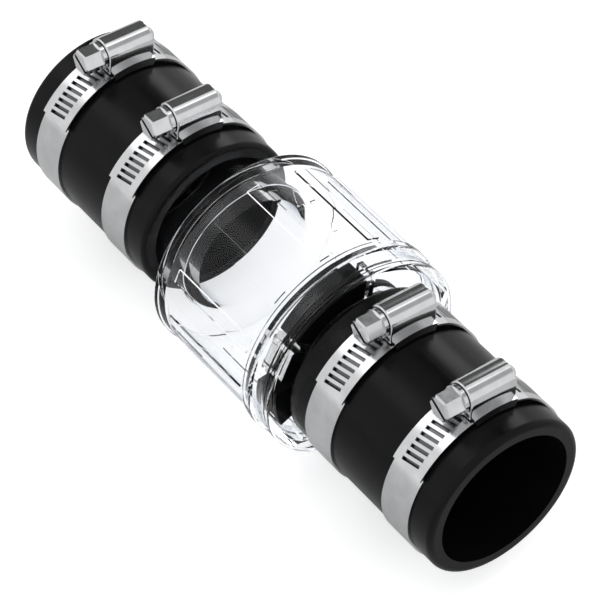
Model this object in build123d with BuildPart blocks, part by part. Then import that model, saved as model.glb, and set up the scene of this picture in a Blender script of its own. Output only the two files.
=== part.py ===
from build123d import *

import os
from math import cos, radians, sin

# Swing check valve for 48.26 mm plastic pipe: a clear two-piece body between two rubber slip
# couplings, held by four worm-drive clamps. Millimetres. +X is the flow along the pipe axis,
# +Z is the side that the clamp screws are on, and the origin is the centre of the inlet mouth.
# An angle about the pipe axis is in degrees from +Z towards -Y.

# ---- couplings -------------------------------------------------------------------------------
pipe_diameter = 48.26
slip_clearance = 0.07          # radial, pipe in coupling
coupling_wall = 4.8
coupling_length = 70.0
pipe_depth = 36.0              # from the mouth to the inner stop
stop_width = 2.5
stop_height = 1.5
coupling_edge_round = 2.0

# ---- body ------------------------------------------------------------------------------------
body_length = 60.5             # front face to rear face of the clear drum
body_step = 11.8               # radial, hub to drum
body_wall = 2.9
end_plate = 3.0
hub_clearance = 0.1            # radial, hub in coupling
hub_wall = 3.7
hub_edge = 0.6
neck_round = 1.2
hub_stop_gap = 0.3             # hub end to the coupling's inner stop
inlet_gap = 0.2                # coupling end to the front face
outlet_neck = 16.3             # rear face to the outlet coupling
bead_height = 0.6
bead_width = 2.1
joint_start = 8.7              # front face to the joint beads
joint_bead_height = 1.3
joint_bead_width = 1.85
joint_gap = 0.1                # between the two shells, along the axis
spigot_length = 5.4
spigot_wall = 1.4
spigot_clearance = 0.05        # radial
rib_count = 12
rib_angle = -5.0
rib_width = 4.8
rib_height = 0.65
rib_front_inset = 1.9          # from the joint beads
rib_rear_inset = 6.6           # from the rear bead
rib_sink = 0.5                 # how far ribs and the arrow start inside the wall
arrow_angle = 10.5
arrow_length = 22.0
arrow_width = 7.0
arrow_shaft = 2.6
arrow_height = 0.4

# ---- seat and hinge --------------------------------------------------------------------------
hinge_angle = -65.0
seat_depth = 7.3               # front face to the seat's centre
seat_tilt = 8.0
seat_wall = 3.0
seat_gap = 0.3
gusset_angles = (75.0, 180.0, 285.0)   # from the hinge
gusset_thickness = 2.0
gusset_height = 6.0
gusset_wall_gap = 0.2
hinge_offset = 3.0             # disc edge to the pin, along the seat
pin_radius = 1.2
pin_clearance = 0.05
knuckle_radius = 2.6
knuckle_length = 7.0
ear_gap = 0.4
ear_thickness = 1.7
ear_radius = 2.8
bracket_base = 1.5
bracket_edge = 0.6
pin_head_radius = 2.1
pin_head_length = 1.0
pin_tail = 1.8
clip_radius = 2.7
clip_thickness = 0.5
clip_gap = 0.1
groove_depth = 0.3
pad_from = -48.0               # angles of the pad are from the hinge
pad_to = 71.0
pad_height = 6.9               # above the seat
pad_wall_gap = 0.6
pad_disc_gap = 0.8
pad_bracket_gap = 0.3
pad_pin_gap = 0.6

# ---- flapper ---------------------------------------------------------------------------------
disc_overlap = 0.6             # radial, disc over the seat
disc_thickness = 3.2
disc_edge_round = 0.8
weight_inset = 5.4             # radial, inside the waterway
weight_thickness = 2.0
weight_edge_round = 0.4
washer_inset = 7.4             # radial, inside the waterway
washer_thickness = 1.2
washer_edge_round = 0.3
arm_width = 7.0
arm_thickness = 1.6
arm_tail_radius = 8.0
bolt_radius = 3.1
bolt_clearance = 0.05
bolt_across_flats = 11.1
bolt_head_height = 4.0
bolt_tip = 1.2
nut_height = 5.0
hex_chamfer = 0.5

# ---- clamps ----------------------------------------------------------------------------------
outer_clamp_inset = 9.5        # coupling mouth to the band
inner_clamp_inset = 10.0       # coupling inner end to the band
band_width = 12.7
band_thickness = 0.65
band_gap = 0.05
housing_angle = 4.0
tail_end = -60.0               # angles of the band are from the housing's middle
tail_lift_end = 26.0
tail_lift_start = 50.0
inner_layer_end = 14.0
slot_count = 24
slot_pitch = 4.33
first_slot = -55.0
slot_length = 7.0
slot_width = 1.2
slot_slant = 11.0
saddle_thickness = 0.6
saddle_half_angle = 14.5
saddle_side = 0.65
saddle_side_gap = 0.15
saddle_height = 2.2
foot_thickness = 0.7
layer_gap = 0.05
barrel_length = 17.5
barrel_wall = 0.9
barrel_clearance = 0.4         # radial, thread in barrel
barrel_end_wall = 1.0
barrel_edge_round = 0.5
thread_radius = 4.2
thread_root = 3.3
thread_pitch = 2.3
thread_flank = 0.3             # of the pitch, each side
thread_crest = 0.3             # of the pitch
thread_clearance = 0.3
journal_radius = 2.9
journal_clearance = 0.08
collar_radius = 4.8
collar_length = 1.3
collar_gap = 0.3
hex_across_flats = 8.0
hex_height = 6.6
hex_edge = 0.6
driver_slot_width = 1.3
driver_slot_depth = 1.6
driver_slot_turn = 30.0
screw_tip = 2.6
tip_chamfer = 1.16

# ---- places worked out from the sizes above --------------------------------------------------
tiny = 0.01
bore_radius = pipe_diameter / 2 + slip_clearance
coupling_radius = bore_radius + coupling_wall
front_face = coupling_length + inlet_gap
rear_face = front_face + body_length
outlet_start = rear_face + outlet_neck
total_length = outlet_start + coupling_length
hub_radius = bore_radius - hub_clearance
waterway_radius = hub_radius - hub_wall
body_radius = hub_radius + body_step
hub_depth = coupling_length - pipe_depth - stop_width - hub_stop_gap
inlet_hub_end = coupling_length - hub_depth
outlet_hub_end = outlet_start + hub_depth
chamber_radius = body_radius - body_wall
chamber_start = front_face + end_plate
chamber_end = rear_face - end_plate
joint_face = front_face + joint_start + joint_bead_width
bead_radius = body_radius + bead_height
joint_radius = body_radius + joint_bead_height
spigot_radius = chamber_radius + spigot_wall
rib_start = joint_face + joint_gap + joint_bead_width + rib_front_inset
rib_length = rear_face - bead_width - rib_rear_inset - rib_start
seat_radius = waterway_radius + seat_wall
disc_radius = seat_radius + disc_overlap
hinge_reach = disc_radius + hinge_offset
weight_radius = waterway_radius - weight_inset
washer_radius = waterway_radius - washer_inset
seat_x = front_face + seat_depth
disc_back = seat_gap + disc_thickness
weight_back = disc_back + weight_thickness
arm_back = weight_back + arm_thickness
pin_rise = weight_back + arm_thickness / 2
ear_inner = knuckle_length / 2 + ear_gap
ear_outer = ear_inner + ear_thickness
band_inner = coupling_radius + band_gap
saddle_inner = band_inner + band_thickness + layer_gap
half_band = band_width / 2
tail_inner = saddle_inner + saddle_thickness + layer_gap
tail_outer = tail_inner + band_thickness
saddle_outer = saddle_inner + saddle_height
saddle_half_width = half_band + saddle_side_gap + saddle_side
screw_height = tail_outer + thread_clearance + thread_radius
barrel_radius = thread_radius + barrel_clearance + barrel_wall
cavity_radius = barrel_radius - barrel_wall
journal_hole = journal_radius + journal_clearance
foot_outer = saddle_outer + foot_thickness
foot_reach = foot_outer * sin(radians(saddle_half_angle))
head_start = max(barrel_length / 2, foot_reach) + collar_gap


def outward(angle):
    """Unit direction away from the pipe axis at an angle."""
    return Vector(0, -sin(radians(angle)), cos(radians(angle)))


def ring_plane(x, angle=0.0):
    """Plane across the pipe at x, whose own +Y points away from the axis at the angle."""
    sideways = Vector(0, cos(radians(angle)), sin(radians(angle)))
    return Plane(origin=(x, 0, 0), x_dir=sideways, z_dir=(1, 0, 0))


def on_ring(radius, angle):
    """Point in a ring plane's own axes, at an angle from its +Y towards its -X."""
    return (-radius * sin(radians(angle)), radius * cos(radians(angle)))


def rims(shape, x, radius):
    """Round edges about the pipe axis at a place and radius."""
    circles = shape.edges().filter_by(GeomType.CIRCLE)
    return circles.filter_by(
        lambda edge: abs(edge.arc_center.X - x) < tiny and abs(edge.radius - radius) < tiny
    )


def save(piece, label):
    """Name a finished piece and write its file."""
    piece.part.label = label
    export_step(piece.part, f"parts/{label}.step")


# ---- rubber couplings ------------------------------------------------------------------------
def make_coupling(label, mouth, direction):
    """One slip coupling, from its mouth inwards along the direction, +1 or -1 in X."""
    profile = Plane(origin=(mouth, 0, 0), x_dir=(direction, 0, 0), z_dir=(0, -direction, 0))
    stop_end = pipe_depth + stop_width
    with BuildPart() as coupling:
        with BuildSketch(profile):
            with BuildLine():
                Polyline(
                    (0, bore_radius),
                    (pipe_depth, bore_radius),
                    (pipe_depth, bore_radius - stop_height),
                    (stop_end, bore_radius - stop_height),
                    (stop_end, bore_radius),
                    (coupling_length, bore_radius),
                    (coupling_length, coupling_radius),
                    (0, coupling_radius),
                    close=True,
                )
            make_face()
        revolve(axis=Axis.X)
        inner_end = mouth + direction * coupling_length
        outer_rims = rims(coupling.part, mouth, coupling_radius)
        outer_rims += rims(coupling.part, inner_end, coupling_radius)
        fillet(outer_rims, radius=coupling_edge_round)
    save(coupling, label)


# ---- clear body ------------------------------------------------------------------------------
seat = Plane(
    origin=(seat_x, 0, 0),
    x_dir=outward(hinge_angle) * cos(radians(seat_tilt)) - Vector(sin(radians(seat_tilt)), 0, 0),
    z_dir=outward(hinge_angle) * sin(radians(seat_tilt)) + Vector(cos(radians(seat_tilt)), 0, 0),
)
pin_centre = seat.from_local_coords((hinge_reach, 0, pin_rise))
pin_reach = pin_centre.dot(outward(hinge_angle))


def make_inlet_shell():
    """Front plate with the inlet hub, the slanted seat and the rim that the drum plugs into."""
    seat_blank = seat_x + seat_radius / 3
    socket_floor = joint_face - spigot_length - joint_gap
    with BuildPart() as shell:
        with BuildSketch(Plane.XZ):
            with BuildLine():
                Polyline(
                    (inlet_hub_end, waterway_radius),
                    (inlet_hub_end, hub_radius),
                    (front_face, hub_radius),
                    (front_face, bead_radius),
                    (front_face + bead_width, bead_radius),
                    (front_face + bead_width, body_radius),
                    (front_face + joint_start, body_radius),
                    (front_face + joint_start, joint_radius),
                    (joint_face, joint_radius),
                    (joint_face, spigot_radius + spigot_clearance),
                    (socket_floor, spigot_radius + spigot_clearance),
                    (socket_floor, chamber_radius),
                    (chamber_start, chamber_radius),
                    (chamber_start, seat_radius),
                    (seat_blank, seat_radius),
                    (seat_blank, waterway_radius),
                    close=True,
                )
            make_face()
        revolve(axis=Axis.X)
        gusset_inner = seat_radius - rib_sink
        gusset_outer = chamber_radius - gusset_wall_gap
        for turn in gusset_angles:
            with BuildSketch(ring_plane(chamber_start - rib_sink, hinge_angle + turn)):
                with Locations((0, (gusset_inner + gusset_outer) / 2)):
                    Rectangle(gusset_thickness, gusset_outer - gusset_inner)
            extrude(amount=gusset_height + rib_sink)
        with BuildSketch(seat):
            Circle((seat_radius + chamber_radius) / 2)
        extrude(amount=seat_radius, mode=Mode.SUBTRACT)
        fillet(rims(shell.part, front_face, bead_radius), radius=bead_height)
        fillet(rims(shell.part, front_face + joint_start, joint_radius), radius=bead_height)
        fillet(rims(shell.part, front_face, hub_radius), radius=inlet_gap)
        chamfer(rims(shell.part, inlet_hub_end, hub_radius), length=hub_edge)
    save(shell, "inlet_shell")


def make_chamber_shell():
    """Ribbed drum with its rear plate and the outlet hub."""
    with BuildPart() as shell:
        with BuildSketch(Plane.XZ):
            with BuildLine():
                Polyline(
                    (joint_face - spigot_length, chamber_radius),
                    (joint_face - spigot_length, spigot_radius),
                    (joint_face + joint_gap, spigot_radius),
                    (joint_face + joint_gap, joint_radius),
                    (joint_face + joint_gap + joint_bead_width, joint_radius),
                    (joint_face + joint_gap + joint_bead_width, body_radius),
                    (rear_face - bead_width, body_radius),
                    (rear_face - bead_width, bead_radius),
                    (rear_face, bead_radius),
                    (rear_face, hub_radius),
                    (outlet_hub_end, hub_radius),
                    (outlet_hub_end, waterway_radius),
                    (chamber_end, waterway_radius),
                    (chamber_end, chamber_radius),
                    close=True,
                )
            make_face()
        revolve(axis=Axis.X)
        rib_middle = body_radius + (rib_height - rib_sink) / 2
        with BuildSketch(Plane.YZ.offset(rib_start)):
            with PolarLocations(rib_middle, rib_count, start_angle=90 + rib_angle):
                Rectangle(rib_height + rib_sink, rib_width)
        extrude(amount=rib_length)
        arrow_middle = rib_start + rib_length / 2
        arrow_base = outward(arrow_angle) * (body_radius - rib_sink) + Vector(arrow_middle, 0, 0)
        with BuildSketch(Plane(origin=arrow_base, x_dir=(1, 0, 0), z_dir=outward(arrow_angle))):
            with BuildLine():
                Polyline(
                    (-arrow_length / 2, -arrow_shaft / 2),
                    (arrow_length / 2 - arrow_width, -arrow_shaft / 2),
                    (arrow_length / 2 - arrow_width, -arrow_width / 2),
                    (arrow_length / 2, 0),
                    (arrow_length / 2 - arrow_width, arrow_width / 2),
                    (arrow_length / 2 - arrow_width, arrow_shaft / 2),
                    (-arrow_length / 2, arrow_shaft / 2),
                    close=True,
                )
            make_face()
        extrude(amount=rib_sink + arrow_height)
        fillet(rims(shell.part, rear_face, bead_radius), radius=bead_height)
        joint_rim = joint_face + joint_gap + joint_bead_width
        fillet(rims(shell.part, joint_rim, joint_radius), radius=bead_height)
        fillet(rims(shell.part, rear_face, hub_radius), radius=neck_round)
        chamfer(rims(shell.part, outlet_hub_end, hub_radius), length=hub_edge)
    save(shell, "chamber_shell")


# ---- flapper and its hinge -------------------------------------------------------------------
def across_pin(along):
    """Plane across the hinge pin, along millimetres from the middle of the hinge."""
    place = seat.from_local_coords((hinge_reach, along, pin_rise))
    return Plane(origin=place, x_dir=outward(hinge_angle), z_dir=seat.y_dir)


def make_hinge():
    """Steel fork on the front plate, its pin and the clip that keeps the pin in."""
    with BuildPart() as bracket:
        with BuildSketch(
            Plane(origin=(chamber_start, 0, 0), x_dir=outward(hinge_angle), z_dir=(1, 0, 0))
        ):
            with Locations((pin_reach, 0)):
                Rectangle(2 * ear_radius, 2 * ear_outer)
        extrude(amount=pin_centre.X - chamber_start)
        with BuildSketch(across_pin(-ear_outer)):
            Circle(ear_radius)
        extrude(amount=2 * ear_outer)
        chamfer(bracket.edges().filter_by(Axis.X), length=bracket_edge)
        with BuildSketch(
            Plane(
                origin=(chamber_start + bracket_base, 0, 0),
                x_dir=outward(hinge_angle),
                z_dir=(1, 0, 0),
            )
        ):
            with Locations((pin_reach, 0)):
                Rectangle(4 * ear_radius, 2 * ear_inner)
        extrude(amount=pin_centre.X, mode=Mode.SUBTRACT)
        with BuildSketch(across_pin(-2 * ear_outer)):
            Circle(pin_radius + pin_clearance / 2)
        extrude(amount=4 * ear_outer, mode=Mode.SUBTRACT)
    save(bracket, "hinge_bracket")

    clip_place = -(ear_outer + clip_gap + clip_thickness)
    with BuildPart() as pin:
        with BuildSketch(across_pin(-(ear_outer + pin_tail))):
            Circle(pin_radius)
        extrude(amount=2 * ear_outer + pin_tail + pin_clearance)
        with BuildSketch(across_pin(ear_outer + pin_clearance)):
            Circle(pin_head_radius)
        extrude(amount=pin_head_length)
        with BuildSketch(across_pin(clip_place - clip_gap / 2)):
            Circle(2 * pin_radius)
            Circle(pin_radius - groove_depth, mode=Mode.SUBTRACT)
        extrude(amount=clip_thickness + clip_gap, mode=Mode.SUBTRACT)
    save(pin, "hinge_pin")

    with BuildPart() as clip:
        with BuildSketch(across_pin(clip_place)):
            Circle(clip_radius)
            Circle(pin_radius - groove_depth + pin_clearance, mode=Mode.SUBTRACT)
            with Locations((clip_radius, 0)):
                Rectangle(2 * clip_radius, 2 * (pin_radius - groove_depth), mode=Mode.SUBTRACT)
        extrude(amount=clip_thickness)
    save(clip, "hinge_pin_clip")


def make_hinge_pad():
    """Rubber crescent behind the front plate, notched around the hinge so that its pin stays in."""
    pad_inner = disc_radius + pad_disc_gap
    pad_outer = chamber_radius - pad_wall_gap
    notch_half = ear_outer + pin_tail + pad_pin_gap
    notch_reach = pin_reach + ear_radius + pad_bracket_gap
    with BuildPart() as pad:
        with BuildSketch(ring_plane(chamber_start, hinge_angle)):
            with BuildLine():
                inside = CenterArc((0, 0), pad_inner, 90 + pad_from, pad_to - pad_from)
                outside = CenterArc((0, 0), pad_outer, 90 + pad_from, pad_to - pad_from)
                Line(inside @ 0, outside @ 0)
                Line(inside @ 1, outside @ 1)
            make_face()
            with Locations((0, notch_reach / 2)):
                Rectangle(2 * notch_half, notch_reach, mode=Mode.SUBTRACT)
        extrude(amount=seat_radius)
        with BuildSketch(seat.offset(pad_height)):
            Circle(2 * chamber_radius)
        extrude(amount=2 * seat_radius, mode=Mode.SUBTRACT)
    save(pad, "hinge_pad")


def make_round_plate(label, start, radius, thickness, edge):
    """Disc of the flapper stack, parallel to the seat, with the bolt hole."""
    with BuildPart() as plate:
        with BuildSketch(seat.offset(start)):
            Circle(radius)
            Circle(bolt_radius + bolt_clearance, mode=Mode.SUBTRACT)
        extrude(amount=thickness)
        circles = plate.edges().filter_by(GeomType.CIRCLE)
        fillet(circles.filter_by(lambda rim: abs(rim.radius - radius) < tiny), radius=edge)
    save(plate, label)


def make_flapper():
    """Rubber disc between steel plates, on an arm that swings on the hinge pin."""
    make_round_plate("flapper_disc", seat_gap, disc_radius, disc_thickness, disc_edge_round)
    make_round_plate(
        "flapper_weight", disc_back, weight_radius, weight_thickness, weight_edge_round
    )
    washer_start = seat_gap - washer_thickness
    make_round_plate(
        "flapper_washer", washer_start, washer_radius, washer_thickness, washer_edge_round
    )

    with BuildPart() as arm:
        with BuildSketch(seat.offset(weight_back)):
            with Locations((hinge_reach / 2, 0)):
                Rectangle(hinge_reach, arm_width)
            Circle(arm_tail_radius)
        extrude(amount=arm_thickness)
        with BuildSketch(across_pin(-knuckle_length / 2)):
            Circle(knuckle_radius)
        extrude(amount=knuckle_length)
        with BuildSketch(across_pin(-knuckle_length)):
            Circle(pin_radius + pin_clearance)
        extrude(amount=2 * knuckle_length, mode=Mode.SUBTRACT)
        with BuildSketch(seat):
            Circle(bolt_radius + bolt_clearance)
        extrude(amount=2 * arm_back, mode=Mode.SUBTRACT)
    save(arm, "flapper_arm")

    hexagon_start = washer_start - bolt_head_height
    with BuildPart() as bolt:
        with BuildSketch(seat.offset(hexagon_start)):
            RegularPolygon(radius=bolt_across_flats / 2, side_count=6, major_radius=False)
        extrude(amount=bolt_head_height)
        chamfer(bolt.faces().sort_by(Axis(seat.origin, seat.z_dir))[0].edges(), length=hex_chamfer)
        with BuildSketch(seat.offset(washer_start)):
            Circle(bolt_radius)
        extrude(amount=arm_back + nut_height + bolt_tip - washer_start)
        chamfer(bolt.faces().sort_by(Axis(seat.origin, seat.z_dir))[-1].edges(), length=hex_chamfer)
    save(bolt, "flapper_bolt")

    with BuildPart() as nut:
        with BuildSketch(seat.offset(arm_back)):
            RegularPolygon(radius=bolt_across_flats / 2, side_count=6, major_radius=False)
            Circle(bolt_radius + bolt_clearance, mode=Mode.SUBTRACT)
        extrude(amount=nut_height)
        top = nut.faces().sort_by(Axis(seat.origin, seat.z_dir))[-1]
        chamfer(top.outer_wire().edges(), length=hex_chamfer)
    save(nut, "flapper_nut")


# ---- worm-drive clamps -----------------------------------------------------------------------
def make_band(label, middle):
    """Spring-steel band: one turn, a lift to the saddle, and the slotted tail over the turn."""
    start = middle - half_band
    strips = (
        (inner_layer_end, tail_lift_start - 360, band_inner, band_inner),
        (tail_lift_start, tail_lift_end, band_inner, tail_inner),
        (tail_lift_end, tail_end, tail_inner, tail_inner),
    )
    with BuildPart() as band:
        with BuildSketch(ring_plane(start, housing_angle)):
            for turn_from, turn_to, radius_from, radius_to in strips:
                halfway = (turn_from + turn_to) / 2
                radius_mid = (radius_from + radius_to) / 2
                with BuildLine():
                    inside = ThreePointArc(
                        on_ring(radius_from, turn_from),
                        on_ring(radius_mid, halfway),
                        on_ring(radius_to, turn_to),
                    )
                    outside = ThreePointArc(
                        on_ring(radius_from + band_thickness, turn_from),
                        on_ring(radius_mid + band_thickness, halfway),
                        on_ring(radius_to + band_thickness, turn_to),
                    )
                    Line(inside @ 0, outside @ 0)
                    Line(inside @ 1, outside @ 1)
                make_face()
        extrude(amount=band_width)
        slot_planes = []
        for number in range(slot_count):
            turn = first_slot + number * slot_pitch
            depth = tail_inner - layer_gap / 2 if turn < tail_lift_end else band_inner - band_gap
            away = outward(housing_angle + turn)
            slot_planes.append(
                Plane(origin=away * depth + Vector(middle, 0, 0), x_dir=(1, 0, 0), z_dir=away)
            )
        with BuildSketch(*slot_planes):
            Rectangle(slot_length, slot_width, rotation=slot_slant)
        extrude(amount=3 * band_thickness, mode=Mode.SUBTRACT)
    save(band, label)


def make_saddle(label, middle):
    """Curved channel under the tail, with a low wall along each edge of the band."""
    start = middle - saddle_half_width
    with BuildPart() as saddle:
        with BuildSketch(ring_plane(start, housing_angle)):
            with BuildLine():
                inside = CenterArc((0, 0), saddle_inner, 90 - saddle_half_angle, 2 * saddle_half_angle)
                outside = CenterArc((0, 0), saddle_outer, 90 - saddle_half_angle, 2 * saddle_half_angle)
                Line(inside @ 0, outside @ 0)
                Line(inside @ 1, outside @ 1)
            make_face()
        extrude(amount=2 * saddle_half_width)
        with BuildSketch(ring_plane(start + saddle_side, housing_angle)):
            Circle(2 * saddle_outer)
            Circle(saddle_inner + saddle_thickness, mode=Mode.SUBTRACT)
        extrude(amount=2 * (saddle_half_width - saddle_side), mode=Mode.SUBTRACT)
    save(saddle, label)


def along_screw(middle, along):
    """Plane across a clamp screw, whose own +Y points away from the pipe, facing the tip."""
    ring = ring_plane(middle, housing_angle)
    place = ring.from_local_coords((along, screw_height, 0))
    return Plane(origin=place, x_dir=(1, 0, 0), z_dir=-ring.x_dir)


def make_housing(label, middle):
    """Barrel over the screw, on a curved foot that rests on the saddle's walls."""
    half = barrel_length / 2
    cavity_length = barrel_length - 2 * barrel_end_wall
    with BuildPart() as housing:
        with BuildSketch(along_screw(middle, half)):
            Circle(barrel_radius)
            with Locations((0, -screw_height / 4)):
                Rectangle(2 * barrel_radius, screw_height / 2)
        extrude(amount=barrel_length)
        barrel_line = Axis((0, 0, 0), ring_plane(middle, housing_angle).x_dir)
        ends = housing.faces().filter_by(barrel_line)
        fillet(ends.edges(), radius=barrel_edge_round)
        with BuildSketch(ring_plane(middle - saddle_half_width, housing_angle)):
            with BuildLine():
                inside = CenterArc((0, 0), saddle_outer / 2, 90 - saddle_half_angle, 2 * saddle_half_angle)
                outside = CenterArc((0, 0), foot_outer, 90 - saddle_half_angle, 2 * saddle_half_angle)
                Line(inside @ 0, outside @ 0)
                Line(inside @ 1, outside @ 1)
            make_face()
        extrude(amount=2 * saddle_half_width)
        with BuildSketch(ring_plane(middle - band_width, housing_angle)):
            Circle(saddle_outer)
        extrude(amount=2 * band_width, mode=Mode.SUBTRACT)
        with BuildSketch(along_screw(middle, half - barrel_end_wall)):
            Circle(cavity_radius)
            with Locations((0, -screw_height / 4)):
                Rectangle(2 * cavity_radius, screw_height / 2)
        extrude(amount=cavity_length, mode=Mode.SUBTRACT)
        with BuildSketch(along_screw(middle, half + barrel_end_wall)):
            Circle(journal_hole)
        extrude(amount=barrel_length + 2 * barrel_end_wall, mode=Mode.SUBTRACT)
    save(housing, label)


def make_screw(label, middle):
    """Worm screw: a hex head with a driver slot, a collar, the thread and a plain tip."""
    tip = -(barrel_length / 2 + screw_tip)
    thread_half = barrel_length / 2 - barrel_end_wall - collar_gap
    ridge_count = int((2 * thread_half - thread_pitch) / thread_pitch)
    first_ridge = -ridge_count * thread_pitch / 2
    flank = thread_flank * thread_pitch
    crest = thread_crest * thread_pitch
    outline = [(tip, 0), (tip, journal_radius - tip_chamfer), (tip + tip_chamfer, journal_radius)]
    outline += [(-thread_half, journal_radius), (-thread_half, thread_root)]
    for number in range(ridge_count):
        ridge = first_ridge + number * thread_pitch
        outline += [
            (ridge, thread_root),
            (ridge + flank, thread_radius),
            (ridge + flank + crest, thread_radius),
            (ridge + 2 * flank + crest, thread_root),
        ]
    outline += [(thread_half, thread_root), (thread_half, journal_radius)]
    outline += [(head_start, journal_radius), (head_start, collar_radius)]
    outline += [(head_start + collar_length, collar_radius), (head_start + collar_length, 0)]
    ring = ring_plane(middle, housing_angle)
    screw_line = Axis(ring.from_local_coords((0, screw_height, 0)), ring.x_dir)
    head_end = head_start + collar_length + hex_height
    with BuildPart() as screw:
        with BuildSketch(ring):
            with BuildLine():
                Polyline(*[(along, screw_height + out) for along, out in outline], close=True)
            make_face()
        revolve(axis=screw_line)
        with BuildSketch(along_screw(middle, head_end)):
            RegularPolygon(radius=hex_across_flats / 2, side_count=6, major_radius=False)
        extrude(amount=hex_height)
        chamfer(screw.faces().sort_by(screw_line)[-1].edges(), length=hex_edge)
        with BuildSketch(along_screw(middle, head_end)):
            Rectangle(2 * hex_across_flats, driver_slot_width, rotation=driver_slot_turn)
        extrude(amount=driver_slot_depth, mode=Mode.SUBTRACT)
    save(screw, label)


def make_clamp(number, middle):
    """One worm-drive clamp around a coupling."""
    make_band(f"clamp_{number}_band", middle)
    make_saddle(f"clamp_{number}_saddle", middle)
    make_housing(f"clamp_{number}_housing", middle)
    make_screw(f"clamp_{number}_screw", middle)


os.makedirs("parts", exist_ok=True)
make_coupling("inlet_coupling", 0.0, 1)
make_coupling("outlet_coupling", total_length, -1)
make_inlet_shell()
make_chamber_shell()
make_hinge()
make_hinge_pad()
make_flapper()
make_clamp(1, outer_clamp_inset + half_band)
make_clamp(2, coupling_length - inner_clamp_inset - half_band)
make_clamp(3, outlet_start + inner_clamp_inset + half_band)
make_clamp(4, total_length - outer_clamp_inset - half_band)
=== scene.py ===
import math

import bmesh
import bpy
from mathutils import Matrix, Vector


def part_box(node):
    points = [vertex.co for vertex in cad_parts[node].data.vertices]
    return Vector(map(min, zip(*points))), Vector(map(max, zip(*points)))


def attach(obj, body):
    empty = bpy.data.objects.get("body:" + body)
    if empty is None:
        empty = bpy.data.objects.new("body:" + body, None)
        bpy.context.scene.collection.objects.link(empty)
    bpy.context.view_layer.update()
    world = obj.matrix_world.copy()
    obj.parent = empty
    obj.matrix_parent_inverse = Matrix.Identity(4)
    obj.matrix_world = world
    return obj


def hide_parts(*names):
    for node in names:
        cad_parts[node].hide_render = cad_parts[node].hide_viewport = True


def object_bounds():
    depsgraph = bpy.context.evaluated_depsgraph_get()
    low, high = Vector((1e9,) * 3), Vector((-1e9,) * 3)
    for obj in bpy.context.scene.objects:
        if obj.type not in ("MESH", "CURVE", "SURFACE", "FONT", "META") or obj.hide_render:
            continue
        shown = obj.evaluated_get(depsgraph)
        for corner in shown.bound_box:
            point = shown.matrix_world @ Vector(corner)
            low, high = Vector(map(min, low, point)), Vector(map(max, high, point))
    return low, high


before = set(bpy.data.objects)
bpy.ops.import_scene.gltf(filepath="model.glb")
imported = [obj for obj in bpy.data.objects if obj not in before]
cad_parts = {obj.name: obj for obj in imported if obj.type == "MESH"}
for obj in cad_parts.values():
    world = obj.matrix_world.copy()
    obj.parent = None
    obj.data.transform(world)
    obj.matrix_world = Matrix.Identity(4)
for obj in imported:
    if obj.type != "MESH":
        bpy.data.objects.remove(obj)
cad_low, cad_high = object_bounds()

# ---- camera ------------------------------------------------------------------------------------
CAMERA_AZIMUTH = math.radians(232.92)
CAMERA_ELEVATION = math.radians(47.29)
CAMERA_DISTANCE = 0.9895
CAMERA_LENS = 187.0            # millimetres
AIM_SHARE = 0.4696             # of the valve's length, from the inlet mouth
CAMERA_REACH = 50.0

# ---- rubber, in metres -------------------------------------------------------------------------
BLOTCH_SCALE = 60
BLOTCH_STOPS = (0.3, 0.7)
BLOTCH_DARK = 0.75             # of the rubber's colour
BLOTCH_LIGHT = 1.3
GRAIN_SCALE = 2600
SHEEN_SCALE = 140
SHEEN_SPREAD = (-0.05, 0.07)   # about the rubber's roughness
GRAIN_BUMP = (0.1, 0.00003)    # strength, height
BLOTCH_BUMP = (0.2, 0.00012)

# ---- steel, in metres --------------------------------------------------------------------------
STAIN_SCALE = 180
STAIN_STOPS = (0.3, 0.7)
STAIN_DARK = 0.9               # of the steel's colour
STAIN_LIGHT = 1.06
BRUSH_SPREAD = (0.75, 1.35)    # of the steel's roughness
BRUSH_ROUGHNESS = 0.65         # of the noise that makes the brush lines
BRUSH_HEIGHT = 0.00002

# ---- band layers, with painted shade under the slotted tail ------------------------------------
COVERED_RADIUS = 0.0300        # between the inner layer and the slotted tail, in metres
COVERED_FROM = -55.0           # degrees about the pipe axis, from +Z towards -Y
COVERED_TO = 19.0
# dark grey painted shade on the inner layer, in the gap under the slotted tail
PAINTED_SHADE_COLOUR = (0.10, 0.10, 0.105, 1)

# ---- hinge pad, in metres and in degrees from the hinge ----------------------------------------
HINGE_ANGLE = -65.0            # about the pipe axis, from +Z towards -Y
SEAT_TILT = math.radians(8)
SEAT_X = 0.0775
PAD_RISE = 0.0069              # above the seat
PAD_BASE = 0.0732              # inner face of the front plate
PAD_INNER = 0.0248
PAD_OUTER = 0.0324
PAD_ARCS = ((-48.0, -17.5), (17.5, 71.0))
PAD_STEP = 1.5
PAD_BEVEL = 0.0005
PAD_BEVEL_STEPS = 3

# ---- clear body --------------------------------------------------------------------------------
HUB_RADIUS = 0.0241            # metres
WATERWAY_RADIUS = 0.0204
NECK_START = 0.1272            # rear plate; the outlet neck past it is a thin clear wall
CONTACT_GAP = 0.00007          # either side of the hub and the waterway
GRIPPED_COLOUR = (0.012, 0.012, 0.013, 1)
CLEAR_IOR = 1.18               # low, so that the inside shows as little bent as in the photograph
NECK_IOR = 1.1
NECK_ROUGHNESS = 0.03
CLEAR_TINT = (0.968, 0.972, 0.979, 1)
CLEAR_RIM = (0.48, 0.54, 0.63, 1)
RIM_FROM = 0.55                # of the way to edge-on, where the plastic starts to darken
CLEAR_SHADE = (0.992, 0.995, 0.998, 1)
FLOW_SCALE = 45                # slow waves of the moulding
FLOW_BUMP = (0.05, 0.0002)

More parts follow.
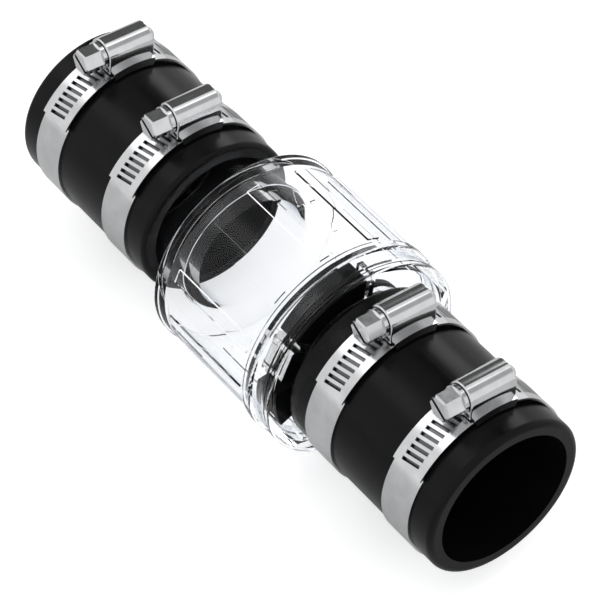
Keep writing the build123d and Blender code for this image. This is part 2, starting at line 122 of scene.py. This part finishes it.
# ---- studio ------------------------------------------------------------------------------------
FLOOR_SIZE = 8.0
FLOOR_COLOUR = (0.70, 0.70, 0.70, 1)
FLOOR_SHADE = 0.98             # of the floor's colour, between its fibres
FLOOR_GLOW = 0.75              # not seen in reflections
FLOOR_ROUGHNESS = 0.9
FLOOR_SPECULAR = 0.1
FIBRE_SCALE = 900
FIBRE_STOPS = (0.2, 0.8)
SKY_TINT = (0.985, 0.992, 1.0, 1)
SKY_STRENGTH = 1.12
SKY_DARKEST = 0.12
SKY_EDGE = 0.03                # softness of a patch's limits along Y
# Each patch: direction, degrees to the full patch and to its edge, limits along Y, change in strength.
SKY_PATCHES = (
    ((0.54, -0.66, 0.52), 7, 16, -1.0, -0.57, 3.2),
    ((0.54, 0.38, 0.75), 4, 15, -1.0, 1.0, 1.2),
    ((0.54, -0.13, 0.83), 6, 18, -1.0, 1.0, -0.5),
    ((0.82, 0.0, 0.57), 49, 53, -0.57, -0.30, -1.05),
    ((-0.13, -0.46, 0.88), 3, 8, -1.0, 1.0, 1.3),
    ((-0.44, -0.46, 0.77), 7, 20, -1.0, 1.0, -0.55),
)


def inputs(node, **values):
    """Set a node's unlinked sockets by name, with _ for a space."""
    for name, value in values.items():
        node.inputs[name.replace("_", " ")].default_value = value
    return node


def new_material(name):
    """A material with an empty node tree, its tree and its output node."""
    material = bpy.data.materials.new(name)
    material.use_nodes = True
    tree = material.node_tree
    tree.nodes.clear()
    output = tree.nodes.new("ShaderNodeOutputMaterial")
    return material, tree, output


def add(tree, kind, **settings):
    """One node of a tree with its plain settings."""
    node = tree.nodes.new(kind)
    for name, value in settings.items():
        setattr(node, name, value)
    return node


def coordinates(tree, scale):
    """Object coordinates stretched by a scale along each axis."""
    place = add(tree, "ShaderNodeTexCoord")
    mapping = add(tree, "ShaderNodeMapping")
    mapping.inputs["Scale"].default_value = scale
    tree.links.new(place.outputs["Object"], mapping.inputs["Vector"])
    return mapping.outputs["Vector"]


def noise(tree, vector, scale, detail=4.0, roughness=0.5):
    """Noise from 0 to 1 on a vector."""
    node = add(tree, "ShaderNodeTexNoise")
    inputs(node, Scale=scale, Detail=detail, Roughness=roughness)
    tree.links.new(vector, node.inputs["Vector"])
    return node.outputs["Fac"]


def ramp(tree, factor, low, high, colour_low, colour_high):
    """Colours between two stops of a factor."""
    node = add(tree, "ShaderNodeValToRGB")
    node.color_ramp.elements[0].position = low
    node.color_ramp.elements[0].color = colour_low
    node.color_ramp.elements[1].position = high
    node.color_ramp.elements[1].color = colour_high
    tree.links.new(factor, node.inputs["Fac"])
    return node.outputs["Color"]


def spread(tree, factor, low, high):
    """A factor from 0 to 1 moved to another range."""
    node = add(tree, "ShaderNodeMapRange")
    inputs(node, To_Min=low, To_Max=high)
    tree.links.new(factor, node.inputs["Value"])
    return node.outputs["Result"]


def bump(tree, height, strength, distance, below=None):
    """A normal from a height, on top of another normal."""
    node = add(tree, "ShaderNodeBump")
    inputs(node, Strength=strength, Distance=distance)
    tree.links.new(height, node.inputs["Height"])
    if below is not None:
        tree.links.new(below, node.inputs["Normal"])
    return node.outputs["Normal"]


def rubber_material(name, colour, sheen_roughness, refraction):
    """Moulded black rubber: a fine skin, faint blotches of bloom and slow waves."""
    material, tree, output = new_material(name)
    shader = add(tree, "ShaderNodeBsdfPrincipled")
    inputs(shader, IOR=refraction)
    base = coordinates(tree, (1, 1, 1))
    blotches = noise(tree, base, BLOTCH_SCALE, 5)
    dark = tuple(c * BLOTCH_DARK for c in colour) + (1,)
    light = tuple(c * BLOTCH_LIGHT for c in colour) + (1,)
    tree.links.new(ramp(tree, blotches, *BLOTCH_STOPS, dark, light), shader.inputs["Base Color"])
    grain = noise(tree, base, GRAIN_SCALE, 3)
    low, high = (sheen_roughness + change for change in SHEEN_SPREAD)
    sheen = spread(tree, noise(tree, base, SHEEN_SCALE, 4), low, high)
    tree.links.new(sheen, shader.inputs["Roughness"])
    skin = bump(tree, grain, *GRAIN_BUMP)
    tree.links.new(bump(tree, blotches, *BLOTCH_BUMP, skin), shader.inputs["Normal"])
    tree.links.new(shader.outputs["BSDF"], output.inputs["Surface"])
    return material


def maths(tree, operation, first, second):
    """One sum on sockets or numbers."""
    node = add(tree, "ShaderNodeMath", operation=operation)
    for socket, value in zip(node.inputs, (first, second)):
        if isinstance(value, (int, float)):
            socket.default_value = value
        else:
            tree.links.new(value, socket)
    return node.outputs["Value"]


def step(tree, value, start, end):
    """Smooth step from 0 at the start to 1 at the end."""
    node = add(tree, "ShaderNodeMapRange", interpolation_type="SMOOTHSTEP")
    inputs(node, From_Min=start, From_Max=end)
    tree.links.new(value, node.inputs["Value"])
    return node.outputs["Result"]


def within(tree, value, middle, gap):
    """1 where a value is within a gap of its middle."""
    above = maths(tree, "GREATER_THAN", value, middle - gap)
    return maths(tree, "MULTIPLY", above, maths(tree, "LESS_THAN", value, middle + gap))


def pipe_coordinates(tree):
    """Place along the pipe axis, distance from it, and angle about it from +Z towards -Y."""
    place = add(tree, "ShaderNodeTexCoord")
    axes = add(tree, "ShaderNodeSeparateXYZ")
    tree.links.new(place.outputs["Object"], axes.inputs["Vector"])
    across, up = axes.outputs["Y"], axes.outputs["Z"]
    across_squared, up_squared = maths(tree, "MULTIPLY", across, across), maths(tree, "MULTIPLY", up, up)
    reach = maths(tree, "SQRT", maths(tree, "ADD", across_squared, up_squared), 0)
    turn = maths(tree, "ARCTAN2", maths(tree, "MULTIPLY", across, -1), up)
    return axes.outputs["X"], reach, turn


def shade_under_tail(tree, tone):
    """Painted shade, dark grey, on the inner band layer where the slotted tail covers it."""
    _, reach, turn = pipe_coordinates(tree)
    inner = maths(tree, "LESS_THAN", reach, COVERED_RADIUS)
    after = maths(tree, "GREATER_THAN", turn, math.radians(COVERED_FROM))
    before = maths(tree, "LESS_THAN", turn, math.radians(COVERED_TO))
    painted_shade = maths(tree, "MULTIPLY", inner, maths(tree, "MULTIPLY", after, before))
    # painted shade mixed over the steel's tone
    mix = add(tree, "ShaderNodeMix", data_type="RGBA")
    tree.links.new(painted_shade, mix.inputs["Factor"])
    tree.links.new(tone, mix.inputs[6])
    mix.inputs[7].default_value = PAINTED_SHADE_COLOUR
    return mix.outputs[2]


def steel_material(name, colour, roughness, brush_scale, brush_strength, paint_tail_shade=False):
    """Bright brushed steel with faint stains, and painted shade between the layers of a layered band."""
    material, tree, output = new_material(name)
    shader = add(tree, "ShaderNodeBsdfPrincipled")
    inputs(shader, Metallic=1.0)
    stains = noise(tree, coordinates(tree, (1, 1, 1)), STAIN_SCALE, 5)
    dark = tuple(c * STAIN_DARK for c in colour) + (1,)
    light = tuple(c * STAIN_LIGHT for c in colour) + (1,)
    tone = ramp(tree, stains, *STAIN_STOPS, dark, light)
    # painted shade on the inner layer under the slotted tail
    if paint_tail_shade:
        tone = shade_under_tail(tree, tone)
    tree.links.new(tone, shader.inputs["Base Color"])
    lines = noise(tree, coordinates(tree, brush_scale), 1, 6, BRUSH_ROUGHNESS)
    low, high = (roughness * share for share in BRUSH_SPREAD)
    tree.links.new(spread(tree, lines, low, high), shader.inputs["Roughness"])
    tree.links.new(bump(tree, lines, brush_strength, BRUSH_HEIGHT), shader.inputs["Normal"])
    tree.links.new(shader.outputs["BSDF"], output.inputs["Surface"])
    return material


def either(tree, share, first, second):
    """Two shaders mixed by the share of the second."""
    node = add(tree, "ShaderNodeMixShader")
    tree.links.new(share, node.inputs["Fac"])
    tree.links.new(first, node.inputs[1])
    tree.links.new(second, node.inputs[2])
    return node.outputs["Shader"]


def clear_material(name):
    """Clear moulded plastic, a thin wall on the outlet neck and black where rubber grips a hub."""
    material, tree, output = new_material(name)
    shader = add(tree, "ShaderNodeBsdfPrincipled")
    inputs(shader, IOR=CLEAR_IOR, Transmission_Weight=1.0, Roughness=0.0)
    facing = add(tree, "ShaderNodeLayerWeight")
    tint = ramp(tree, facing.outputs["Facing"], RIM_FROM, 1.0, CLEAR_TINT, CLEAR_RIM)
    tree.links.new(tint, shader.inputs["Base Color"])
    flow = noise(tree, coordinates(tree, (1, 1, 1)), FLOW_SCALE, 2)
    tree.links.new(bump(tree, flow, *FLOW_BUMP), shader.inputs["Normal"])
    path = add(tree, "ShaderNodeLightPath")
    window = inputs(add(tree, "ShaderNodeBsdfTransparent"), Color=CLEAR_SHADE)
    solid = either(tree, path.outputs["Is Shadow Ray"], shader.outputs["BSDF"], window.outputs["BSDF"])
    along, reach, _ = pipe_coordinates(tree)
    inlet_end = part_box("inlet_coupling")[1][0]
    outlet_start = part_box("outlet_coupling")[0][0]
    before = maths(tree, "LESS_THAN", along, inlet_end)
    after = maths(tree, "GREATER_THAN", along, outlet_start)
    hub = within(tree, reach, HUB_RADIUS, CONTACT_GAP)
    gripped = maths(tree, "MULTIPLY", hub, maths(tree, "ADD", before, after))
    rubber = inputs(add(tree, "ShaderNodeBsdfDiffuse"), Color=GRIPPED_COLOUR)
    waterway = within(tree, reach, WATERWAY_RADIUS, CONTACT_GAP)
    past_plate = maths(tree, "GREATER_THAN", along, NECK_START)
    neck = maths(tree, "MULTIPLY", maths(tree, "MAXIMUM", hub, waterway), past_plate)
    pale = add(tree, "ShaderNodeBsdfTransparent")
    tree.links.new(tint, pale.inputs["Color"])
    gloss = inputs(add(tree, "ShaderNodeBsdfGlossy"), Roughness=NECK_ROUGHNESS)
    glance = inputs(add(tree, "ShaderNodeFresnel"), IOR=NECK_IOR)
    thin = either(tree, glance.outputs["Fac"], pale.outputs["BSDF"], gloss.outputs["BSDF"])
    body = either(tree, neck, solid, thin)
    tree.links.new(either(tree, gripped, body, rubber.outputs["BSDF"]), output.inputs["Surface"])
    return material


def floor_material():
    """Pale matt paper that glows slightly, but not in reflections."""
    material, tree, output = new_material("studio_floor")
    shader = add(tree, "ShaderNodeBsdfPrincipled")
    inputs(shader, Roughness=FLOOR_ROUGHNESS, Specular_IOR_Level=FLOOR_SPECULAR)
    inputs(shader, Emission_Color=FLOOR_COLOUR)
    path = add(tree, "ShaderNodeLightPath")
    dimming = maths(tree, "MULTIPLY", path.outputs["Is Reflection Ray"], FLOOR_GLOW)
    glow = maths(tree, "SUBTRACT", FLOOR_GLOW, dimming)
    tree.links.new(glow, shader.inputs["Emission Strength"])
    fibres = noise(tree, coordinates(tree, (1, 1, 1)), FIBRE_SCALE, 4)
    pale = tuple(c * FLOOR_SHADE for c in FLOOR_COLOUR[:3]) + (1,)
    tree.links.new(ramp(tree, fibres, *FIBRE_STOPS, pale, FLOOR_COLOUR), shader.inputs["Base Color"])
    tree.links.new(shader.outputs["BSDF"], output.inputs["Surface"])
    return material


def make_floor():
    """Flat floor that the valve's widest bead touches."""
    half = FLOOR_SIZE / 2
    middle = (cad_low + cad_high) / 2
    signs = ((-1, -1), (1, -1), (1, 1), (-1, 1))
    corners = [(middle.x + x * half, middle.y + y * half, cad_low.z) for x, y in signs]
    mesh = bpy.data.meshes.new("floor")
    mesh.from_pydata(corners, [], [(0, 1, 2, 3)])
    floor = bpy.data.objects.new("floor", mesh)
    bpy.context.scene.collection.objects.link(floor)
    mesh.materials.append(floor_material())


def pad_corner(turn, radius, top):
    """Corner of the pad at an angle from the hinge, on the front plate or on the slanted top."""
    angle = math.radians(HINGE_ANGLE + turn)
    slant = radius * math.cos(math.radians(turn)) * math.sin(SEAT_TILT)
    along = SEAT_X + (PAD_RISE - slant) / math.cos(SEAT_TILT) if top else PAD_BASE
    return (along, -radius * math.sin(angle), radius * math.cos(angle))


def make_hinge_pad(material):
    """Rubber crescents on both sides of the hinge, with rounded edges."""
    section = ((PAD_INNER, False), (PAD_OUTER, False), (PAD_OUTER, True), (PAD_INNER, True))
    corners, faces = [], []
    for start, end in PAD_ARCS:
        first = len(corners)
        count = round((end - start) / PAD_STEP)
        for number in range(count + 1):
            turn = start + number * (end - start) / count
            for radius, top in section:
                corners.append(pad_corner(turn, radius, top))
        for number in range(count):
            here = first + 4 * number
            for side in range(4):
                after = (side + 1) % 4
                faces.append((here + side, here + after, here + 4 + after, here + 4 + side))
        last = first + 4 * count
        faces.append((first + 3, first + 2, first + 1, first))
        faces.append((last, last + 1, last + 2, last + 3))
    mesh = bpy.data.meshes.new("hinge_pad_rubber")
    mesh.from_pydata(corners, [], faces)
    shape = bmesh.new()
    shape.from_mesh(mesh)
    bmesh.ops.recalc_face_normals(shape, faces=shape.faces)
    shape.to_mesh(mesh)
    shape.free()
    mesh.shade_smooth()
    mesh.materials.append(material)
    pad = bpy.data.objects.new("hinge_pad_rubber", mesh)
    bpy.context.scene.collection.objects.link(pad)
    bevel = pad.modifiers.new("edges", "BEVEL")
    bevel.width = PAD_BEVEL
    bevel.segments = PAD_BEVEL_STEPS
    bevel.harden_normals = True
    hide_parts("hinge_pad")
    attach(pad, "root")


def make_camera():
    """Long lens above the inlet end, aimed at the pipe axis."""
    aim = Vector((cad_low.x + AIM_SHARE * (cad_high.x - cad_low.x), 0, 0))
    back = Vector(
        (
            math.sin(CAMERA_AZIMUTH) * math.cos(CAMERA_ELEVATION),
            -math.cos(CAMERA_AZIMUTH) * math.cos(CAMERA_ELEVATION),
            math.sin(CAMERA_ELEVATION),
        )
    )
    camera = bpy.data.objects.new("camera", bpy.data.cameras.new("camera"))
    bpy.context.scene.collection.objects.link(camera)
    camera.data.lens = CAMERA_LENS
    camera.data.clip_end = CAMERA_REACH
    camera.location = aim + back * CAMERA_DISTANCE
    camera.rotation_mode = "QUATERNION"
    camera.rotation_quaternion = (-back).to_track_quat("-Z", "Y")
    bpy.context.scene.camera = camera


def make_sky():
    """Even pale studio all round, with soft bright and dark patches by direction."""
    world = bpy.data.worlds.new("studio")
    bpy.context.scene.world = world
    world.use_nodes = True
    tree = world.node_tree
    tree.nodes.clear()
    output = add(tree, "ShaderNodeOutputWorld")
    light = inputs(add(tree, "ShaderNodeBackground"), Color=SKY_TINT)
    place = add(tree, "ShaderNodeTexCoord")
    axes = add(tree, "ShaderNodeSeparateXYZ")
    tree.links.new(place.outputs["Generated"], axes.inputs["Vector"])
    total = SKY_STRENGTH
    for direction, full, edge, low, high, change in SKY_PATCHES:
        towards = add(tree, "ShaderNodeVectorMath", operation="DOT_PRODUCT")
        towards.inputs[1].default_value = Vector(direction).normalized()
        tree.links.new(place.outputs["Generated"], towards.inputs[0])
        outer, inner = math.cos(math.radians(edge)), math.cos(math.radians(full))
        near = step(tree, towards.outputs["Value"], outer, inner)
        after = step(tree, axes.outputs["Y"], low - SKY_EDGE, low)
        before = step(tree, axes.outputs["Y"], high + SKY_EDGE, high)
        patch = maths(tree, "MULTIPLY", near, maths(tree, "MULTIPLY", after, before))
        total = maths(tree, "ADD", total, maths(tree, "MULTIPLY", patch, change))
    total = maths(tree, "MAXIMUM", total, SKY_DARKEST)
    tree.links.new(total, light.inputs["Strength"])
    tree.links.new(light.outputs["Background"], output.inputs["Surface"])


# Rubber: colour, roughness, IOR. Steel: colour, roughness, scale of the brush lines, their strength.
coupling_rubber = rubber_material("coupling_rubber_look", (0.0028, 0.0028, 0.003), 0.24, 1.2)
flapper_rubber = rubber_material("flapper_rubber_look", (0.003, 0.003, 0.003), 0.42, 1.2)
clear_plastic = clear_material("clear_plastic_look")
# The band steel carries painted shade on its inner layer, under the slotted tail.
band_steel = steel_material(
    "band_steel_look", (0.56, 0.56, 0.565), 0.18, (3500, 60, 60), 0.4, paint_tail_shade=True
)
housing_steel = steel_material("housing_steel_look", (0.60, 0.60, 0.605), 0.085, (1200, 60, 60), 0.10)
screw_steel = steel_material("screw_steel_look", (0.58, 0.585, 0.59), 0.12, (300, 300, 300), 0.15)
fitting_steel = steel_material("fitting_steel_look", (0.58, 0.58, 0.575), 0.13, (300, 300, 300), 0.15)

LOOKS = (                      # the first word that a node's name holds decides
    ("coupling", coupling_rubber),
    ("shell", clear_plastic),
    ("flapper_disc", flapper_rubber),
    ("pad", flapper_rubber),
    ("band", band_steel),
    ("saddle", housing_steel),
    ("housing", housing_steel),
    ("screw", screw_steel),
    ("hinge", fitting_steel),
    ("flapper", fitting_steel),
)


def paint_cad():
    """Give each CAD node the material of the first word that its name holds."""
    for name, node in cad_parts.items():
        look = next(material for word, material in LOOKS if word in name)
        node.data.materials.clear()
        node.data.materials.append(look)


make_camera()
make_floor()
make_sky()
paint_cad()
make_hinge_pad(flapper_rubber)
bpy.context.scene.view_settings.view_transform = "Standard"
